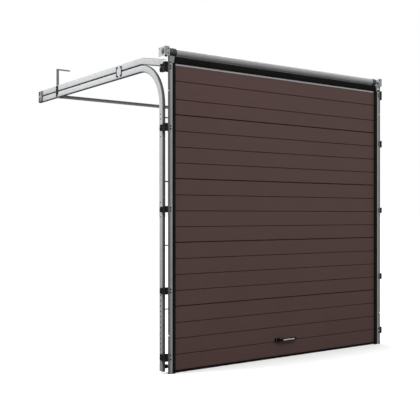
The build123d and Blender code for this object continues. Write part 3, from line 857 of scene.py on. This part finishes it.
class DOOR_OT_rollers(bpy.types.Operator):
    """Makes the track rollers with their stems"""

    bl_idname = "door.rollers"
    bl_label = "Rollers"

    def execute(self, context):
        leaf = []
        for z in ROLLER_HEIGHTS:
            leaf += roller_shells(TRACK_Y, z)
        sleeve = [(-0.0180, 0.0052), (-0.0180, 0.0155), (-0.0170, 0.0165)]
        sleeve += [(0.0150, 0.0165), (0.0160, 0.0155), (0.0160, 0.0052)]
        sleeve = turned_x(sleeve, TRACK_Y, ROLLER_HEIGHTS[0])
        top_roller_y = 0.120
        top = roller_shells(top_roller_y, rising_z(top_roller_y))
        finishes = [finish("nylon"), finish("cast_drum")]
        for name, shells, body, node in (
            ("turned_rollers", leaf, "leaf", "leaf_rollers"),
            ("turned_top_rollers", top, "top_section", "top_rollers"),
        ):
            which = [0, 1, 1] * (len(shells) // 3) * 2
            piece(name, both(shells), finishes, body, [node], which=which)
        piece("lowest_roller_sleeves", both([sleeve]), finish("black_steel"), "leaf")
        return {"FINISHED"}


# Handle


class DOOR_OT_handle(bpy.types.Operator):
    """Makes the lifting handle with its dark moulded base and bare metal grip"""

    bl_idname = "door.handle"
    bl_label = "Handle"

    def execute(self, context):
        low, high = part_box("handle")
        z = (low.z + high.z) / 2
        u, v = rounded(0.050, 0.036, 0.010, 7).T
        depth, share = np.array([[0, 1.0], [0.010, 1.0], [0.0125, 0.96], [0.014, 0.86]]).T[:, :, None]
        x_mid = low.x + 0.025
        base = rings(x_mid + u * share, LEAF_FRONT - depth, z + v * share)
        grip_y = LEAF_FRONT - 0.040 + 0.0075
        end_x = high.x - 0.004
        bend = 0.012
        a = np.linspace(0, math.pi / 2, 9)
        path = [(x_mid, LEAF_FRONT - 0.012)]
        path += [(x_mid + bend * (1 - math.cos(k)), grip_y + bend * (1 - math.sin(k))) for k in a]
        path += [(end_x - bend * (1 - math.sin(k)), grip_y + bend * (1 - math.cos(k))) for k in a]
        path += [(end_x, grip_y + bend + 0.006)]
        path = np.array(path)
        run = np.gradient(path, axis=0)
        run /= np.linalg.norm(run, axis=1)[:, None]
        u, v = rounded(0.012, 0.024, 0.005, 6).T
        across = np.stack([-run[:, 1], run[:, 0]], -1)
        body = rings(path[:, :1] + u * across[:, :1], path[:, 1:] + u * across[:, 1:], z + v)
        bar_x = np.array([0.066, 0.0675, 0.070, 0.194, 0.1965, 0.198])[:, None] + low.x
        swell = np.array([0.60, 0.86, 1.0, 1.0, 0.86, 0.60])[:, None]
        u, v = rounded(0.0125, 0.0145, 0.0045, 6).T
        bar = rings(bar_x, grip_y - 0.0012 + u * swell, z + v * swell)
        head = [(0, 0.0034), (0.0010, 0.0034), (0.0018, 0.0022), (0.0019, 0.001)]
        screws = []
        for dz in (-0.012, 0.012):
            place = (x_mid - 0.014, LEAF_FRONT - 0.0128, z + dz)
            screws.append(standing(head, place, (0, -1, 0), 16))
        shells = [tube(base), tube(body), tube(bar), *screws]
        finishes = [finish("dark_moulding"), finish("grip_metal"), finish("zinc_plated")]
        piece("lifting_handle", shells, finishes, "leaf", ["handle"], which=[0, 0, 1, 2, 2])
        return {"FINISHED"}


# Bolts and rivets


def bolt(place, axis, width, washer=True):
    """Hexagon head, of a width across its flats, with a chamfered top on a round washer."""
    r = width / 2 / math.cos(math.pi / 6)
    shells = []
    start = 0.0
    if washer:
        start = 0.0016
        w = width * 0.78
        shells.append(standing([(-0.0004, w), (start - 0.0003, w), (start, w * 0.95)], place, axis, 20))
    head = [(start - 0.0004, r), (start + width * 0.38, r), (start + width * 0.46, r * 0.84)]
    shells.append(standing(head, place, axis, 6, math.pi / 6))
    return shells


def rivet(place, axis, r=0.004):
    """Low domed head: height 0.55 r sin a over radius r cos a."""
    a = np.linspace(0, math.pi / 2 * 0.92, 5)
    profile = [(-0.0004, r)] + [(0.55 * r * math.sin(k), r * math.cos(k)) for k in a]
    return standing(profile, place, axis, 14)


class DOOR_OT_fasteners(bpy.types.Operator):
    """Makes the bolts of the tracks and brackets and the screws of the hinges"""

    bl_idname = "door.fasteners"
    bl_label = "Bolts and screws"

    def execute(self, context):
        left = (-1, 0, 0)
        inward = (0, 1, 0)
        outward_y = (0, -1, 0)
        bolts = []
        black = []
        for z, height, _, apart in BRACKETS:
            black += bolt((-0.052, 0.058, z - height * 0.22), left, 0.015)
            black += bolt((-0.048, 0.030, z + height * 0.18), left, 0.011)
            for dz in (-apart, apart):
                black += bolt((0.002, 0.0, z + dz), outward_y, 0.011, False)
                bolts += bolt((0.004, 0.005, z + dz), inward, 0.010)
            for dz in (-height * 0.30, height * 0.30):
                black += bolt((-0.034, 0.002, z + dz), outward_y, 0.011, False)
        for y in (0.706, 0.761):
            for z in (2.418, 2.4905):
                black += bolt((-0.047, y, z), left, 0.011)
        for y in (2.362, 2.418):
            for z in (2.410, 2.432, 2.4765, 2.4985):
                black += bolt((-0.047, y, z), left, 0.012)
        for z in (2.412, 2.436, 2.472, 2.496):
            black += bolt((-0.047, 1.999, z), left, 0.014)
        for y, z in ((0.022, 2.536), (0.024, 2.522), (0.040, 2.489), (0.090, 2.535)):
            black.append(rivet((-0.043, y, z), left, 0.0042))
        for z in (2.492, 2.526):
            slot_outline = rounded(0.007, 0.016, 0.0034, 6) + np.array([-0.0190, z])
            black.append(prism(slot_outline, 0.0012, 0.0026, "y"))
        black.append(plate((-0.0432, 0.0008, 2.474), (-0.0365, 0.0026, 2.544), 0.001))
        black += bolt((-0.0300, 0.016, 2.474), (0, 0, -1), 0.018)
        for x in (-0.032, -0.006):
            bolts += bolt((x, 1.978, 2.391), (0, 0, -1), 0.010)
        # Thin dark plates on the track web, in the place of its holes: painted shade seen through them.
        for z in (2.022, 1.984, 1.847, 1.335, 1.220, *(0.190 + 0.042 * k for k in range(11))):
            hole_shade = rounded(0.013, 0.010, 0.0045, 6) + np.array([TRACK_Y, z])
            black.append(prism(hole_shade, -0.04515, -0.0449, "x"))
        piece("frame_bolts", both(bolts), finish("zinc_plated"), "frame")
        piece("black_bolts", both(black), finish("black_steel"), "frame")
        leaf = []
        top = []
        for z in SECTION_JOINTS:
            last = z == SECTION_JOINTS[-1]
            for x in (0.052, 0.082):
                for dz in (-0.036, 0.036):
                    head = rivet((x, HINGE_FACE, z + dz), inward)
                    if last and dz > 0:
                        top.append(head)
                    elif dz > 0 or last:
                        leaf.append(head)
        for x in (0.052, 0.082):
            for z in (0.034, 0.102):
                leaf.append(rivet((x, HINGE_FACE, z), inward))
            top.append(rivet((x, HINGE_FACE, 2.374), inward))
        middle = []
        middle_top = []
        for z in SECTION_JOINTS:
            for x in (CENTRE_X - 0.015, CENTRE_X + 0.015):
                for dz in (-0.034, 0.034):
                    upper = z == SECTION_JOINTS[-1] and dz > 0
                    (middle_top if upper else middle).append(rivet((x, HINGE_FACE, z + dz), inward))
        piece("leaf_screws", both(leaf) + middle, finish("zinc_plated"), "leaf")
        piece("top_screws", both(top) + middle_top, finish("zinc_plated"), "top_section")
        race = [(-0.0432, 0.0132), (-0.0432, 0.0230), (-0.0450, 0.0230), (-0.0462, 0.0215), (-0.0470, 0.0170)]
        race.append((-0.0470, 0.0132))
        piece("shaft_bearings", both([on_shaft(race)]), finish("cast_drum"), "frame")
        return {"FINISHED"}


# Finishes of the pieces that keep their CAD shape


class DOOR_OT_finishes(bpy.types.Operator):
    """Gives the pieces that keep their modelled shape their paint, zinc, rubber and aluminium"""

    bl_idname = "door.finishes"
    bl_label = "Finishes"

    def execute(self, context):
        by_slot = {
            "leaf": "leaf_paint",
            "aluminium": "cap_aluminium",
            "rubber": "rubber",
            "galvanised": "zinc_sheet",
            "black_steel": "black_steel",
            "zinc": "zinc_plated",
            "spring": "spring_wire",
            "drum": "cast_drum",
            "nylon": "nylon",
            "handle": "dark_moulding",
        }
        for entry in frame["record"]["subparts"]:
            dress(entry["node"], by_slot[entry["material_slot"]])
        for node in ("left_post", "right_post"):
            dress(node, "post_zinc")
        dress("track_hangers", "zinc_dull")
        dress("bearing_brackets", "zinc_track")
        return {"FINISHED"}


# Stage


def diffuse(tree, grey):
    """A diffuse shader of one grey."""
    made = tree.nodes.new("ShaderNodeBsdfDiffuse")
    made.inputs["Color"].default_value = (grey, grey, grey, 1)
    return made.outputs[0]


def chosen(tree, share, first, second):
    """The second shader where the share is 1, else the first."""
    made = tree.nodes.new("ShaderNodeMixShader")
    for socket, value in zip(made.inputs, (share, first, second)):
        tree.links.new(value, socket)
    return made.outputs[0]


def lit_floor():
    """Pale floor that looks white to the camera and returns less light to the underside of the door."""
    material = bpy.data.materials.new("floor")
    material.use_nodes = True
    tree = material.node_tree
    tree.nodes.clear()
    out = tree.nodes.new("ShaderNodeOutputMaterial")
    path = tree.nodes.new("ShaderNodeLightPath")
    reflected = worked(tree, "MAXIMUM", path.outputs["Is Glossy Ray"], path.outputs["Is Transmission Ray"])
    unseen = chosen(tree, reflected, diffuse(tree, 0.08), diffuse(tree, 0.2))
    whole = chosen(tree, path.outputs["Is Camera Ray"], unseen, diffuse(tree, 0.95))
    tree.links.new(whole, out.inputs[0])
    return material


class DOOR_OT_stage(bpy.types.Operator):
    """Makes the floor, the soft light and the camera"""

    bl_idname = "door.stage"
    bl_label = "Stage"

    def execute(self, context):
        scene = context.scene
        mesh = bpy.data.meshes.new("floor")
        reach = 400.0
        corners = [(-reach, -reach, 0), (reach, -reach, 0), (reach, reach, 0), (-reach, reach, 0)]
        mesh.from_pydata(corners, [], [(0, 1, 2, 3)])
        mesh.materials.append(lit_floor())
        floor = bpy.data.objects.new("floor", mesh)
        scene.collection.objects.link(floor)
        world = bpy.data.worlds.new("studio")
        scene.world = world
        world.use_nodes = True
        tree = world.node_tree
        tree.nodes.clear()
        out = tree.nodes.new("ShaderNodeOutputWorld")
        sky = tree.nodes.new("ShaderNodeBackground")
        sky.inputs["Color"].default_value = (1, 1, 1, 1)
        path = tree.nodes.new("ShaderNodeLightPath")
        either = worked(tree, "MAXIMUM", path.outputs["Is Camera Ray"], path.outputs["Is Glossy Ray"])
        either = worked(tree, "MAXIMUM", either, path.outputs["Is Transmission Ray"])
        tree.links.new(spread(tree, either, 0.75, 1.0, 0, 1), sky.inputs["Strength"])
        tree.links.new(sky.outputs[0], out.inputs[0])
        for name, power, size, place, aim, roll in (
            ("key", 150, (3.0, 1.0), (-2.5, 1.2, 3.5), (0.0, 1.2, 2.3), math.pi / 2),
            ("front", 300, (3.0, 3.0), (0.2, -5.5, 6.0), (1.2, 0.0, 1.4), 0),
        ):
            lamp = bpy.data.lights.new(name, "AREA")
            lamp.shape = "RECTANGLE"
            lamp.size, lamp.size_y = size
            lamp.energy = power
            lit = bpy.data.objects.new(name, lamp)
            lit.location = place
            turn = (Vector(aim) - Vector(place)).to_track_quat("-Z", "Y")
            lit.rotation_euler = (turn @ Quaternion((0, 0, 1), roll)).to_euler()
            lit.visible_camera = False
            lit.visible_glossy = False
            scene.collection.objects.link(lit)
        lamp = bpy.data.lights.new("top", "SUN")
        lamp.energy = 0.9 * math.pi
        lamp.angle = math.radians(40)
        top = bpy.data.objects.new("top", lamp)
        top.rotation_euler = Vector((0.25, -0.25, -0.93)).to_track_quat("-Z", "Y").to_euler()
        scene.collection.objects.link(top)
        lens = bpy.data.cameras.new("camera")
        lens.sensor_width = 36
        lens.lens = 64.7
        lens.shift_y = 0.012
        lens.clip_end = 1000
        camera = bpy.data.objects.new("camera", lens)
        camera.location = (-3.169, -4.933, 1.235)
        camera.rotation_euler = Vector((0.584, 0.812, 0)).to_track_quat("-Z", "Y").to_euler()
        scene.collection.objects.link(camera)
        scene.camera = camera
        scene.view_settings.view_transform = "Standard"
        return {"FINISHED"}


class DOOR_PT_panel(bpy.types.Panel):
    """Lists the steps that dress the door"""

    bl_idname = "DOOR_PT_panel"
    bl_label = "Garage door"
    bl_space_type = "VIEW_3D"
    bl_region_type = "UI"
    bl_category = "Garage door"

    def draw(self, context):
        layout = self.layout
        for settings in (context.scene.door_sizes, context.scene.door_colours):
            box = layout.box()
            for key in settings.__annotations__:
                box.prop(settings, key)
        for step in STEPS:
            layout.operator(step.bl_idname)


STEPS = (
    DOOR_OT_stage,
    DOOR_OT_finishes,
    DOOR_OT_tracks,
    DOOR_OT_straps,
    DOOR_OT_brackets,
    DOOR_OT_spring,
    DOOR_OT_drums,
    DOOR_OT_rollers,
    DOOR_OT_handle,
    DOOR_OT_fasteners,
)
CLASSES = (DoorSizes, DoorColours, *STEPS, DOOR_PT_panel)


def register():
    """Registers the settings, the steps and the panel."""
    for made in CLASSES:
        bpy.utils.register_class(made)
    bpy.types.Scene.door_sizes = PointerProperty(type=DoorSizes)
    bpy.types.Scene.door_colours = PointerProperty(type=DoorColours)


def unregister():
    """Takes them away again."""
    del bpy.types.Scene.door_colours
    del bpy.types.Scene.door_sizes
    for made in reversed(CLASSES):
        bpy.utils.unregister_class(made)


def main():
    """Runs every step in order."""
    register()
    for step in STEPS:
        group, name = step.bl_idname.split(".")
        getattr(getattr(bpy.ops, group), name)()
    bpy.context.view_layer.update()


if __name__ == "__main__":
    main()
